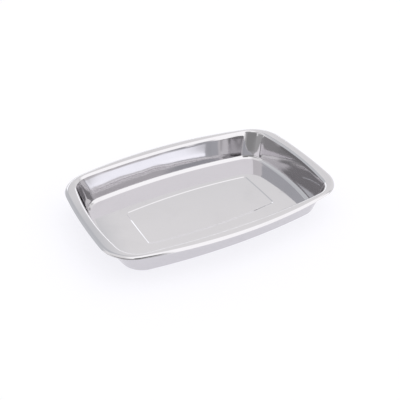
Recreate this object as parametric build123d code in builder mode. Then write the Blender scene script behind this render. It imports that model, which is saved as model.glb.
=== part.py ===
from build123d import *

import os
from math import atan, cos, degrees, hypot, radians, sin, tan

# A shallow instrument tray pressed from one sheet of stainless steel, in millimetres.
# +Z is up, +X runs along the length and +Y along the width. The origin is the middle of the
# base, on the plane that the tray stands on.

# Overall sizes.
TRAY_LENGTH = 320.0
TRAY_WIDTH = 220.0
TRAY_HEIGHT = 38.5

# Sheet, and the rounding of its cut edge.
SHEET = 0.8
CUT_EDGE_ROUND = 0.2

# Rim, flat on top, with its edge rolled down into a lip. The turn is in degrees.
RIM_WIDTH = 13.4
RIM_CORNER = 44.0
LIP_BEND = 5.0
LIP_TURN = 60.0

# Wall, leaning outwards from the floor to the mouth.
WALL_RUN = 10.0
MOUTH_CORNER = 27.5
FLOOR_CORNER = 28.5
MOUTH_BEND = 3.6
FLOOR_BEND = 6.0

# Panel pressed down in the middle of the floor: the tray stands on its underside.
PANEL_LENGTH = 181.0
PANEL_WIDTH = 84.0
PANEL_CORNER = 5.0
PANEL_SINK = 0.5
PANEL_SLOPE_RUN = 1.6
PANEL_BEND = 1.2

# Bow of the rim's and the wall's sides: how far a side rises over its reach, which is half its
# length less the corner. A longer or wider tray keeps the rise, so its rim stays as wide.
RIM_LONG_RISE = 13.73
RIM_SHORT_RISE = 2.65
WALL_LONG_RISE = 8.54
WALL_SHORT_RISE = 6.11

# Bow of the panel's sides: the angle that half a side's arc turns through, in degrees.
PANEL_LONG_BOW = 7.8
PANEL_SHORT_BOW = 1.0

# Levels and reaches that follow from the sizes.
PANEL_TOP = SHEET
FLOOR_UNDERSIDE = PANEL_SINK
FLOOR_TOP = FLOOR_UNDERSIDE + SHEET
RIM_UNDERSIDE = TRAY_HEIGHT - SHEET
LIP_LEAN = radians(LIP_TURN)
LIP_END = TRAY_HEIGHT - LIP_BEND * (1 - cos(LIP_LEAN))
HALF_LENGTH = TRAY_LENGTH / 2
HALF_WIDTH = TRAY_WIDTH / 2

# The rises as angles, in degrees. The wall's reach is measured at the mouth.
MOUTH_INSET = RIM_WIDTH + MOUTH_CORNER
RIM_LONG_BOW = degrees(2 * atan(RIM_LONG_RISE / (HALF_LENGTH - RIM_CORNER)))
RIM_SHORT_BOW = degrees(2 * atan(RIM_SHORT_RISE / (HALF_WIDTH - RIM_CORNER)))
WALL_LONG_BOW = degrees(2 * atan(WALL_LONG_RISE / (HALF_LENGTH - MOUTH_INSET)))
WALL_SHORT_BOW = degrees(2 * atan(WALL_SHORT_RISE / (HALF_WIDTH - MOUTH_INSET)))

# How far the lip's sharp end stands out before its edge is rounded, and how far its bend would
# stand out if it went on through a full quarter turn.
SHARP_END = CUT_EDGE_ROUND * (sin(LIP_LEAN) + cos(LIP_LEAN) - 1)
FULL_BEND = SHARP_END + LIP_BEND * (1 - sin(LIP_LEAN))

# How far a solid runs past the face where it is cut off, or that it opens.
OVERSHOOT = 10.0


def bowed_outline(half_length, half_width, corner, long_bow, short_bow, height):
    """A face with four bowed sides and four round corners, all of them tangent arcs."""
    long_share = tan(radians(long_bow / 2))
    short_share = tan(radians(short_bow / 2))
    shared = 1 - long_share * short_share
    centre_x = ((half_length - corner) - short_share * (half_width - corner)) / shared
    centre_y = ((half_width - corner) - long_share * (half_length - corner)) / shared
    long_radius = centre_x / sin(radians(long_bow)) + corner
    short_radius = centre_y / sin(radians(short_bow)) + corner
    corner_turn = 90 - long_bow - short_bow
    with BuildSketch(Plane.XY.offset(height)) as face:
        with BuildLine():
            for side, start in ((1, 0), (-1, 180)):
                short_centre = (side * (half_length - short_radius), 0)
                long_centre = (0, side * (half_width - long_radius))
                CenterArc(short_centre, short_radius, start - short_bow, 2 * short_bow)
                CenterArc((side * centre_x, side * centre_y), corner, start + short_bow, corner_turn)
                CenterArc(long_centre, long_radius, start + 90 - long_bow, 2 * long_bow)
                CenterArc((-side * centre_x, side * centre_y), corner, start + 90 + long_bow, corner_turn)
        make_face()
    return face.sketch


def rim_outline(inset, height):
    """The rim's outline at a height, moved inwards by inset."""
    return bowed_outline(
        HALF_LENGTH - inset,
        HALF_WIDTH - inset,
        RIM_CORNER - inset,
        RIM_LONG_BOW,
        RIM_SHORT_BOW,
        height,
    )


def wall_outline(outset, height):
    """The wall's outline at a height, outset square to the wall from its inner surface."""
    depth = TRAY_HEIGHT - FLOOR_TOP
    lean = WALL_RUN / depth
    risen = height - FLOOR_TOP
    grown = outset * hypot(1, lean)
    inset = RIM_WIDTH + WALL_RUN - risen * lean - grown
    corner = FLOOR_CORNER + risen * (MOUTH_CORNER - FLOOR_CORNER) / depth + grown
    return bowed_outline(
        HALF_LENGTH - inset,
        HALF_WIDTH - inset,
        corner,
        WALL_LONG_BOW,
        WALL_SHORT_BOW,
        height,
    )


def panel_outline(inset, height):
    """The floor panel's outline at a height, moved inwards by inset."""
    return bowed_outline(
        PANEL_LENGTH / 2 - inset,
        PANEL_WIDTH / 2 - inset,
        PANEL_CORNER - inset,
        PANEL_LONG_BOW,
        PANEL_SHORT_BOW,
        height,
    )


def level_face(part, height):
    """The part's flat face at a height."""
    return part.faces().filter_by(Plane.XY).sort_by(lambda face: abs(face.center().Z - height))[0]


# The hollow above the sheet, which holds what is laid in the tray.
with BuildPart() as hollow:
    loft([wall_outline(0, FLOOR_TOP), wall_outline(0, TRAY_HEIGHT + OVERSHOOT)], ruled=True)
    fillet(hollow.edges().group_by(Axis.Z)[0], FLOOR_BEND)
    loft([panel_outline(PANEL_SLOPE_RUN, PANEL_TOP), panel_outline(0, FLOOR_TOP)], ruled=True)
    fillet(level_face(hollow, PANEL_TOP).edges(), PANEL_BEND)
    fillet(level_face(hollow, FLOOR_TOP).inner_wires()[0].edges(), PANEL_BEND + SHEET)

# The space under the rim, inside the lip.
with BuildPart() as rim_hollow:
    extrude(rim_outline(SHEET - FULL_BEND, TRAY_HEIGHT - OVERSHOOT), amount=OVERSHOOT - SHEET)
    fillet(rim_hollow.edges().group_by(Axis.Z)[-1], LIP_BEND - SHEET)

# The outer form of the wall, floor and panel, up to the rim.
with BuildPart() as bowl:
    loft([wall_outline(SHEET, FLOOR_UNDERSIDE), wall_outline(SHEET, TRAY_HEIGHT)], ruled=True)
    fillet(bowl.edges().group_by(Axis.Z)[0], FLOOR_BEND + SHEET)
    loft([panel_outline(PANEL_SLOPE_RUN, 0), panel_outline(0, FLOOR_UNDERSIDE)], ruled=True)
    fillet(level_face(bowl, 0).edges(), PANEL_BEND + SHEET)
    fillet(level_face(bowl, FLOOR_UNDERSIDE).inner_wires()[0].edges(), PANEL_BEND)

# The pressed tray: the rim with its lip, cut off square to the sheet, and the bowl less its hollow.
with BuildPart() as tray:
    extrude(rim_outline(-FULL_BEND, TRAY_HEIGHT - OVERSHOOT), amount=OVERSHOOT)
    fillet(tray.edges().group_by(Axis.Z)[-1], LIP_BEND)
    split(bisect_by=Plane.XY.offset(LIP_END), keep=Keep.TOP)
    cut_reach = SHEET * tan(LIP_LEAN) - SHARP_END
    loft([rim_outline(-SHARP_END, LIP_END), rim_outline(cut_reach, LIP_END - SHEET)], ruled=True)
    add(rim_hollow.part, mode=Mode.SUBTRACT)
    inner_end = tray.edges().group_by(Axis.Z)[0]
    outer_end = tray.edges().filter_by_position(Axis.Z, LIP_END, LIP_END)
    fillet(inner_end + outer_end, CUT_EDGE_ROUND)
    add(bowl.part)
    add(hollow.part, mode=Mode.SUBTRACT)
    fillet(level_face(tray, TRAY_HEIGHT).inner_wires()[0].edges(), MOUTH_BEND)
    fillet(level_face(tray, RIM_UNDERSIDE).inner_wires()[0].edges(), MOUTH_BEND - SHEET)

tray.part.label = "tray"
os.makedirs("parts", exist_ok=True)
export_step(tray.part, "parts/tray.step")
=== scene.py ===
from math import acos, atan2, cos, radians, sin, tan

import bmesh
import bpy
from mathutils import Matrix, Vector


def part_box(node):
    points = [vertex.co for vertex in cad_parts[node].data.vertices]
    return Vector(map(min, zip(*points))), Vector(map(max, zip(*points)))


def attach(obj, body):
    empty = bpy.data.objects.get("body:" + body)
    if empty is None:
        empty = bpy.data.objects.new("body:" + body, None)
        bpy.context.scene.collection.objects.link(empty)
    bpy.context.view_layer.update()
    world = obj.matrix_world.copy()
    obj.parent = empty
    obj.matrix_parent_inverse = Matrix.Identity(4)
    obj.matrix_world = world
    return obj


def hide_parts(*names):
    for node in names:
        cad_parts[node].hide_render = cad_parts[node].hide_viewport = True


# A shallow instrument tray, pressed from one sheet of stainless steel and polished. Lengths are
# in metres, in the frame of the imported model: +Z up, +X along the length.

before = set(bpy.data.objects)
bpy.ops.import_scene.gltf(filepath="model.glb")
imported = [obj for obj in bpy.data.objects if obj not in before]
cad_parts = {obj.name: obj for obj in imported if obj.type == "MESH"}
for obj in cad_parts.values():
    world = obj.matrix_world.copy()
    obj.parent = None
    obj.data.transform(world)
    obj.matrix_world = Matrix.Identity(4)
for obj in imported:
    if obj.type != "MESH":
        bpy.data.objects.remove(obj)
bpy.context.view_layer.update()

MM = 0.001

# Overall sizes come from the tray part of the imported model.
tray_low, tray_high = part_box("tray")
HALF_LENGTH = (tray_high.x - tray_low.x) / 2
HALF_WIDTH = (tray_high.y - tray_low.y) / 2
RIM_TOP = tray_high.z

# The sheet and its cut edge.
SHEET = 0.8 * MM
CUT_EDGE_ROUND = 0.2 * MM
CUT_EDGE_CUTS = 3

# Rim and lip.
RIM_WIDTH = 13.4 * MM
RIM_CORNER = 44 * MM
LIP_BEND = 5.0 * MM
LIP_TURN = radians(60)

# Wall, from the mouth down to the floor.
WALL_RUN = 10 * MM
MOUTH_CORNER = 27.5 * MM
FLOOR_CORNER = 28.5 * MM
MOUTH_BEND = 3.6 * MM
FLOOR_BEND = 6 * MM

# Panel pressed down in the floor.
PANEL_HALF_LENGTH = 90.5 * MM
PANEL_HALF_WIDTH = 42 * MM
PANEL_CORNER = 5 * MM
PANEL_SINK = 0.5 * MM
PANEL_SLOPE_RUN = 1.6 * MM
PANEL_BEND = 1.2 * MM

PANEL_TOP = SHEET
FLOOR_TOP = PANEL_TOP + PANEL_SINK
WALL_DEPTH = RIM_TOP - FLOOR_TOP
LIP_END = RIM_TOP - LIP_BEND * (1 - cos(LIP_TURN))

# How far the lip's sharp end stands out before its cut edge is rounded.
SHARP_END = CUT_EDGE_ROUND * (sin(LIP_TURN) + cos(LIP_TURN) - 1)

# Bow of the long and short sides: half the angle that each side's arc turns through.
RIM_BOWS = (radians(13.5), radians(4.6))
WALL_BOWS = (radians(8.2), radians(10.1))
PANEL_BOWS = (radians(7.8), radians(1.0))

# Steps along a quarter of a ring, and along each bend of the section.
SHORT_SIDE_STEPS = 16
CORNER_STEPS = 26
LONG_SIDE_STEPS = 24
LIP_BEND_STEPS = 12
MOUTH_BEND_STEPS = 10
FLOOR_BEND_STEPS = 12
WALL_STEPS = 6
PANEL_BEND_STEPS = 4

# A ring this far past each bend keeps the flat stretch beyond it truly flat when shaded smooth.
HOLD = 0.3 * MM

# Points closer together than this are joined into one.
WELD = MM / 1000


class Ring:
    """A level outline of four bowed sides and four round corners, in the first quadrant."""

    def __init__(self, half_length, half_width, corner, bows, level):
        self.half_length = half_length
        self.half_width = half_width
        self.corner = corner
        self.bows = bows
        self.level = level

    def arcs(self):
        """Centre, angle and steps of each arc from the +X axis round to the +Y axis."""
        long_bow, short_bow = self.bows
        along = self.half_length - self.corner
        across = self.half_width - self.corner
        share = 1 - tan(long_bow / 2) * tan(short_bow / 2)
        corner_x = (along - tan(short_bow / 2) * across) / share
        corner_y = (across - tan(long_bow / 2) * along) / share
        long_radius = corner_x / sin(long_bow) + self.corner
        short_radius = corner_y / sin(short_bow) + self.corner
        return [
            ((self.half_length - short_radius, 0), short_bow, SHORT_SIDE_STEPS),
            ((corner_x, corner_y), radians(90) - long_bow - short_bow, CORNER_STEPS),
            ((0, self.half_width - long_radius), long_bow, LONG_SIDE_STEPS),
        ]


def rim_ring(inset, level):
    """The rim's outline, moved inwards all round."""
    return Ring(HALF_LENGTH - inset, HALF_WIDTH - inset, RIM_CORNER - inset, RIM_BOWS, level)


def panel_ring(inset, level):
    """The floor panel's outline, moved inwards all round."""
    corner = PANEL_CORNER - inset
    return Ring(PANEL_HALF_LENGTH - inset, PANEL_HALF_WIDTH - inset, corner, PANEL_BOWS, level)


def corner_pull():
    """How far a wall corner moves inwards when its sides move in by one and its radius stays."""
    long_bow, short_bow = WALL_BOWS
    share = 1 - tan(long_bow / 2) * tan(short_bow / 2)
    middle = (short_bow + radians(90) - long_bow) / 2
    along = (1 - tan(short_bow / 2)) / share * cos(middle)
    across = (1 - tan(long_bow / 2)) / share * sin(middle)
    return along + across


CORNER_PULL = corner_pull()
CORNER_RUN = WALL_RUN * CORNER_PULL + (FLOOR_CORNER - MOUTH_CORNER) * (CORNER_PULL - 1)


def wall_ring(side_inset, corner_inset, level):
    """A ring of the wall, moved in from the mouth line by one amount at its sides and another
    at its corners."""
    corner = MOUTH_CORNER + (corner_inset - CORNER_PULL * side_inset) / (CORNER_PULL - 1)
    half_length = HALF_LENGTH - RIM_WIDTH - side_inset
    half_width = HALF_WIDTH - RIM_WIDTH - side_inset
    return Ring(half_length, half_width, corner, WALL_BOWS, level)


def wall_inset(run, level):
    """How far the wall's face stands in from the mouth line at a level, bends included."""
    lean = atan2(WALL_DEPTH, run)
    below_rim = lean
    if level > RIM_TOP - MOUTH_BEND:
        below_rim = acos(min(1, (level - RIM_TOP + MOUTH_BEND) / MOUTH_BEND))
    if below_rim < lean:
        return MOUTH_BEND * (sin(below_rim) - tan(lean / 2))
    above_floor = lean
    if level < FLOOR_TOP + FLOOR_BEND:
        above_floor = acos(min(1, (FLOOR_TOP + FLOOR_BEND - level) / FLOOR_BEND))
    if above_floor < lean:
        return run + FLOOR_BEND * (tan(lean / 2) - sin(above_floor))
    return (RIM_TOP - level) / tan(lean)


def wall_ring_at(level, spread=0.0):
    """The ring of the wall's face at a level, moved inwards by a little more if asked."""
    return wall_ring(wall_inset(WALL_RUN, level) + spread, wall_inset(CORNER_RUN, level) + spread, level)


def shares(steps):
    """Even shares from 0 to 1."""
    return [step / steps for step in range(steps + 1)]


def section():
    """Every ring of the tray's upper face, from the lip's end to the middle of the panel."""
    wall_lean = atan2(WALL_DEPTH, WALL_RUN)
    slope = atan2(PANEL_SINK, PANEL_SLOPE_RUN)
    upper_bend = PANEL_BEND + SHEET
    upper_reach = upper_bend * tan(slope / 2)
    lower_reach = PANEL_BEND * tan(slope / 2)
    rings = []
    lip_reach = LIP_BEND * sin(LIP_TURN) - SHARP_END
    for share in shares(LIP_BEND_STEPS):
        turn = LIP_TURN * (1 - share)
        rings.append(rim_ring(lip_reach - LIP_BEND * sin(turn), RIM_TOP - LIP_BEND * (1 - cos(turn))))
    rings.append(rim_ring(lip_reach + HOLD, RIM_TOP))
    rings.append(wall_ring_at(RIM_TOP, -HOLD))
    mouth_levels = [RIM_TOP - MOUTH_BEND * (1 - cos(wall_lean * s)) for s in shares(MOUTH_BEND_STEPS)]
    floor_levels = [FLOOR_TOP + FLOOR_BEND * (1 - cos(wall_lean * (1 - s))) for s in shares(FLOOR_BEND_STEPS)]
    wall_top = mouth_levels[-1] - HOLD
    wall_foot = floor_levels[0] + HOLD
    wall_levels = [wall_top + (wall_foot - wall_top) * s for s in shares(WALL_STEPS)]
    rings += [wall_ring_at(level) for level in mouth_levels + wall_levels + floor_levels]
    rings.append(wall_ring_at(FLOOR_TOP, HOLD))
    rings.append(panel_ring(-upper_reach - HOLD, FLOOR_TOP))
    for share in shares(PANEL_BEND_STEPS):
        turn = slope * share
        level = FLOOR_TOP - upper_bend * (1 - cos(turn))
        rings.append(panel_ring(upper_bend * sin(turn) - upper_reach, level))
    for share in shares(PANEL_BEND_STEPS):
        turn = slope * (1 - share)
        level = PANEL_TOP + PANEL_BEND * (1 - cos(turn))
        rings.append(panel_ring(PANEL_SLOPE_RUN + lower_reach - PANEL_BEND * sin(turn), level))
    rings.append(panel_ring(PANEL_SLOPE_RUN + lower_reach + HOLD, PANEL_TOP))
    return rings


def deselect_objects():
    bpy.ops.object.select_all(action="DESELECT")


def add_ring(ring):
    """Spins one quarter of a ring from a single point on the +X axis."""
    bpy.ops.mesh.select_all(action="DESELECT")
    bpy.ops.mesh.primitive_plane_add(size=MM, location=(ring.half_length, 0, ring.level))
    bpy.ops.mesh.merge(type="CENTER")
    for centre, angle, steps in ring.arcs():
        bpy.ops.mesh.spin(steps=steps, angle=angle, center=(*centre, ring.level), axis=(0, 0, -1))


def select_where(piece, kind, wanted):
    """Selects the points, edges or faces that a test of their middle and normal picks."""
    bpy.ops.mesh.select_all(action="DESELECT")
    bpy.ops.mesh.select_mode(type=kind)
    form = bmesh.from_edit_mesh(piece.data)
    parts = {"VERT": form.verts, "EDGE": form.edges, "FACE": form.faces}[kind]
    for part in parts:
        part.select = wanted(part)
    form.select_flush_mode()
    bmesh.update_edit_mesh(piece.data)


def select_run(piece, first, last):
    """Selects the points from one number up to, but not including, another."""
    select_where(piece, "VERT", lambda point: first <= point.index < last)


def apply_modifier(piece, kind, **settings):
    modifier = piece.modifiers.new(kind.title(), kind)
    for name, value in settings.items():
        setattr(modifier, name, value)
    bpy.ops.object.modifier_apply(modifier=modifier.name)


def press_tray():
    """One sheet, pressed into floor, wall, rim and lip."""
    deselect_objects()
    bpy.ops.mesh.primitive_plane_add(size=MM)
    tray = bpy.context.object
    tray.name = tray.data.name = "pressed_tray"
    bpy.ops.object.mode_set(mode="EDIT")
    bpy.ops.mesh.delete(type="VERT")
    rings = section()
    for ring in rings:
        add_ring(ring)
    ring_points = SHORT_SIDE_STEPS + CORNER_STEPS + LONG_SIDE_STEPS + 1
    for number in range(len(rings) - 1):
        select_run(tray, number * ring_points, (number + 2) * ring_points)
        bpy.ops.mesh.bridge_edge_loops()
    # The panel's middle is drawn in from the last ring to one point.
    select_run(tray, (len(rings) - 1) * ring_points, len(rings) * ring_points)
    bpy.ops.mesh.extrude_edges_move()
    bpy.ops.transform.resize(value=(0, 0, 1), center_override=(0, 0, PANEL_TOP))
    bpy.ops.mesh.select_all(action="SELECT")
    bpy.ops.mesh.remove_doubles(threshold=WELD)
    bpy.ops.object.mode_set(mode="OBJECT")
    apply_modifier(tray, "MIRROR", use_axis=(True, True, False), merge_threshold=WELD)
    bpy.ops.object.mode_set(mode="EDIT")
    bpy.ops.mesh.select_all(action="SELECT")
    bpy.ops.mesh.remove_doubles(threshold=WELD)
    bpy.ops.mesh.normals_make_consistent(inside=False)
    panel = min(bmesh.from_edit_mesh(tray.data).faces, key=lambda face: face.calc_center_median().length)
    if panel.normal.z < 0:
        bpy.ops.mesh.flip_normals()
    bpy.ops.object.mode_set(mode="OBJECT")
    apply_modifier(
        tray, "SOLIDIFY", thickness=SHEET, offset=-1, use_even_offset=True, use_quality_normals=True
    )
    bpy.ops.object.mode_set(mode="EDIT")
    # The cut faces stand square to the lip, so they look further down than its underside does. The
    # limit is halfway between the two.
    cut_middle = LIP_END - SHEET * cos(LIP_TURN) / 2
    cut_slope = -(sin(LIP_TURN) + cos(LIP_TURN)) / 2
    select_where(
        tray,
        "FACE",
        lambda face: abs(face.calc_center_median().z - cut_middle) < SHEET / 4 and face.normal.z < cut_slope,
    )
    bpy.ops.mesh.region_to_loop()
    bpy.ops.mesh.bevel(offset=CUT_EDGE_ROUND, segments=CUT_EDGE_CUTS)
    bpy.ops.object.mode_set(mode="OBJECT")
    bpy.ops.object.shade_smooth()
    return tray


class Shader:
    """Wraps one output of a node, so that shader maths is written as expressions."""

    def __init__(self, tree, socket):
        self.tree = tree
        self.socket = socket

    @staticmethod
    def add(tree, kind, settings=None, **inputs):
        """Any node: its settings are set first, then its inputs, by name or by number as in _0."""
        node = tree.nodes.new(kind)
        for name, value in (settings or {}).items():
            setattr(node, name, value)
        for name, value in inputs.items():
            place = int(name[1:]) if name[0] == "_" else name.replace("_", " ")
            if isinstance(value, Shader):
                tree.links.new(value.socket, node.inputs[place])
            else:
                node.inputs[place].default_value = value
        return node

    def out(self, node, name=0):
        return Shader(self.tree, node.outputs[name])

    def maths(self, operation, first, second=0.0):
        settings = {"operation": operation}
        return self.out(self.add(self.tree, "ShaderNodeMath", settings, _0=first, _1=second))

    def __add__(self, other):
        return self.maths("ADD", self, other)

    def __radd__(self, other):
        return self.maths("ADD", other, self)

    def __rsub__(self, other):
        return self.maths("SUBTRACT", other, self)

    def __mul__(self, other):
        return self.maths("MULTIPLY", self, other)

    def __rmul__(self, other):
        return self.maths("MULTIPLY", other, self)

    def __truediv__(self, other):
        return self.maths("DIVIDE", self, other)

    def __abs__(self):
        return self.maths("ABSOLUTE", self)

    def at_least(self, value):
        return self.maths("MAXIMUM", self, value)

    def rises(self, low, high):
        """0 below low and 1 above high, with a smooth rise between."""
        settings = {"interpolation_type": "SMOOTHSTEP"}
        node = self.add(self.tree, "ShaderNodeMapRange", settings, _0=self, _1=low, _2=high)
        return self.out(node)

    def dot(self, vector):
        node = self.add(self.tree, "ShaderNodeVectorMath", {"operation": "DOT_PRODUCT"}, _0=self, _1=vector)
        return self.out(node, "Value")

    def noise(self, scale, detail=2.0, roughness=0.5, distortion=0.0):
        """Soft noise from 0 to 1 on this vector."""
        node = self.add(
            self.tree, "ShaderNodeTexNoise", Vector=self, Scale=scale, Detail=detail, Roughness=roughness,
            Distortion=distortion,
        )
        return self.out(node)

    def stretched(self, scale, turn=0.0):
        """This vector scaled along each axis, after a turn about Z."""
        node = self.add(self.tree, "ShaderNodeMapping", Vector=self, Rotation=(0, 0, turn), Scale=scale)
        return self.out(node)

    def blend(self, low, high):
        """A colour between two, by this factor. A Mix node's colours are its sockets 6 and 7, and its
        mixed colour is its output 2."""
        node = self.add(self.tree, "ShaderNodeMix", {"data_type": "RGBA"}, _0=self, _6=low, _7=high)
        return self.out(node, 2)


def grey(level, warmth=0.0):
    """An RGBA grey, a little red-warm for a positive warmth and blue-cool for a negative one."""
    return (level * (1 + warmth), level, level * (1 - warmth), 1)


# Polished steel. It is a little duller where it is smeared and where its tone drifts.
STEEL_BRIGHT = (0.678, 0.664, 0.684, 1)
STEEL_DULL = (0.640, 0.626, 0.646, 1)
POLISH_FINE = 0.035
POLISH_SMEARED = 0.11
WAVE_HEIGHT = 0.2 * MM
SCRATCH_HEIGHT = 0.0012 * MM

# Scales of the patterns, in cells to the metre. Grain and hairlines are drawn out lengthwise, so
# they have a scale for each axis, and the hairlines are turned by an angle.
SMEAR_SCALE = 22
TONE_SCALE = 9
WAVE_SCALE = 26
GRAIN_SCALE = (35, 900, 35)
HAIRLINE_SCALE = (60, 2600, 60)
HAIRLINE_TURN = radians(24)

# The noise levels between which smears and hairlines fade in.
SMEAR_REACH = (0.5, 0.78)
HAIRLINE_REACH = (0.66, 0.74)

# How far a smear takes the polish from fine towards smeared, and the roughness that grain adds.
SMEAR_SHARE = 0.6
GRAIN_ROUGHNESS = 0.02

# The waves are on the wall alone: they fade in above the floor and out below the rim.
WAVES_START = (4 * MM, 12 * MM)
WAVES_END = (32 * MM, 37 * MM)


def polished_steel():
    """Mirror polish with faint smears, hairline scratches and the slow waves of pressed sheet."""
    material = bpy.data.materials.new("polished_steel")
    material.use_nodes = True
    tree = material.node_tree
    steel = tree.nodes["Principled BSDF"]
    steel.inputs["Metallic"].default_value = 1.0
    place = Shader(tree, Shader.add(tree, "ShaderNodeTexCoord").outputs["Object"])
    smears = place.noise(SMEAR_SCALE, detail=4, roughness=0.6, distortion=0.6).rises(*SMEAR_REACH)
    grain = place.stretched(GRAIN_SCALE).noise(1.0, detail=3, roughness=0.6)
    hairlines = place.stretched(HAIRLINE_SCALE, turn=HAIRLINE_TURN).noise(1.0, detail=1)
    hairlines = hairlines.rises(*HAIRLINE_REACH)
    level = place.dot((0, 0, 1))
    on_wall = level.rises(*WAVES_START) * (1 - level.rises(*WAVES_END))
    waves = place.noise(WAVE_SCALE, detail=1, roughness=0.4) * on_wall
    tone = place.noise(TONE_SCALE, detail=3)
    colour = (0.5 * smears + 0.5 * tone).blend(STEEL_BRIGHT, STEEL_DULL)
    roughness = POLISH_FINE + (POLISH_SMEARED - POLISH_FINE) * smears * SMEAR_SHARE + GRAIN_ROUGHNESS * grain
    height = WAVE_HEIGHT * waves + SCRATCH_HEIGHT * (grain + hairlines)
    bump = Shader.add(tree, "ShaderNodeBump", Height=height, Strength=1.0, Distance=1.0)
    tree.links.new(colour.socket, steel.inputs["Base Color"])
    tree.links.new(roughness.socket, steel.inputs["Roughness"])
    tree.links.new(bump.outputs["Normal"], steel.inputs["Normal"])
    return material


# Studio. Each softbox or flag is a soft-edged rectangle of sky: the direction of its middle as
# azimuth (clockwise from +Y) and elevation, its half width and half height as angles, its roll,
# and its light.
SKY = grey(1.0, 0.004)
SOFTBOXES = (
    (143, 49, 40, 49.1, 4, grey(1.39, 0.0)),
    (-6, 26, 47, 4.2, -2, grey(1.98, -0.03)),
    (-125, 24, 51, 28.6, -5, grey(0.45, 0.0)),
    (-32, 18, 25, 21.2, -12, grey(0.75, -0.03)),
    (-5, 45, 18, 14.9, 1, grey(0.71, -0.03)),
    (30, 24, 2, 0.7, -11, grey(1.99, -0.02)),
    (7, 24, 7, 1.0, -6, grey(2.16, -0.02)),
    (-94, 23, 25, 8.7, 9, grey(1.05, 0.0)),
    (-141, 13, 26, 5.8, 4, grey(0.32, 0.0)),
    (137, 59, 22, 6.6, 14, grey(1.40, 0.0)),
    (34, 32, 17, 3.2, -6, grey(0.95, 0.0)),
    (-169, 54, 11, 9.0, 1, grey(0.08, 0.0)),
    (92, 34, 4, 11.2, -1, grey(0.62, 0.0)),
)

# Half the width of a softbox's soft edge, as a tangent.
SOFT_EDGE = 0.04

# A softbox fades out where the direction is nearly square to its middle: below this cosine.
SIDEWAYS = 0.05

# What the camera sees past the table.
BACKGROUND = grey(1.0)


def aim(azimuth, elevation):
    azimuth, elevation = radians(azimuth), radians(elevation)
    return Vector((sin(azimuth) * cos(elevation), cos(azimuth) * cos(elevation), sin(elevation)))


def light_studio():
    """A pale room of softboxes and dark flags, all far away."""
    world = bpy.data.worlds.new("studio")
    bpy.context.scene.world = world
    world.use_nodes = True
    tree = world.node_tree
    ray = Shader(tree, Shader.add(tree, "ShaderNodeTexCoord").outputs["Generated"])
    light = SKY
    for azimuth, elevation, half_width, half_height, roll, shade in SOFTBOXES:
        ahead = aim(azimuth, elevation)
        level = ahead.cross(Vector((0, 0, 1))).normalized()
        right = level * cos(radians(roll)) + level.cross(ahead) * sin(radians(roll))
        up = right.cross(ahead)
        facing = ray.dot(ahead)
        depth = facing.at_least(SIDEWAYS)
        across = abs(ray.dot(right) / depth)
        along = abs(ray.dot(up) / depth)
        reach_across = tan(radians(half_width))
        reach_along = tan(radians(half_height))
        box = 1 - across.rises(reach_across - SOFT_EDGE, reach_across + SOFT_EDGE)
        box = box * (1 - along.rises(reach_along - SOFT_EDGE, reach_along + SOFT_EDGE))
        light = (box * facing.rises(0.0, SIDEWAYS)).blend(light, shade)
    seen = Shader(tree, Shader.add(tree, "ShaderNodeLightPath").outputs["Is Camera Ray"])
    background = tree.nodes["Background"]
    tree.links.new(seen.blend(light, BACKGROUND).socket, background.inputs["Color"])


# The table. It is matt, and most of its brightness is its own glow.
FLOOR_REACH = 6.0
FLOOR_ALBEDO = grey(0.26)
FLOOR_TINT = (1.0, 0.995, 1.045, 1)
FLOOR_GLOW = 0.75
FLOOR_ROUGHNESS = 0.9


def lay_floor():
    """A plain table that looks white. It glows, so that shadows on it stay faint."""
    deselect_objects()
    bpy.ops.mesh.primitive_plane_add(size=FLOOR_REACH, location=(0, 0, 0))
    floor = bpy.context.object
    floor.name = floor.data.name = "table_top"
    material = bpy.data.materials.new("white_table")
    material.use_nodes = True
    surface = material.node_tree.nodes["Principled BSDF"]
    surface.inputs["Base Color"].default_value = FLOOR_ALBEDO
    surface.inputs["Roughness"].default_value = FLOOR_ROUGHNESS
    surface.inputs["Specular IOR Level"].default_value = 0.0
    surface.inputs["Emission Color"].default_value = FLOOR_TINT
    surface.inputs["Emission Strength"].default_value = FLOOR_GLOW
    floor.data.materials.append(material)


tray = press_tray()
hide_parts("tray")
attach(tray, "root")
tray.data.materials.append(polished_steel())

# Camera.
CAMERA_PLACE = (-0.3266, -0.5936, 0.4901)
CAMERA_AIM = (0.3933, 0.7170, -0.5755)
CAMERA_LENS = 58.2


def place_camera():
    deselect_objects()
    facing = Vector(CAMERA_AIM).to_track_quat("-Z", "Y")
    bpy.ops.object.camera_add(location=CAMERA_PLACE, rotation=facing.to_euler())
    camera = bpy.context.object
    camera.data.lens = CAMERA_LENS
    bpy.context.scene.camera = camera


place_camera()
light_studio()
lay_floor()
bpy.context.scene.view_settings.view_transform = "Standard"
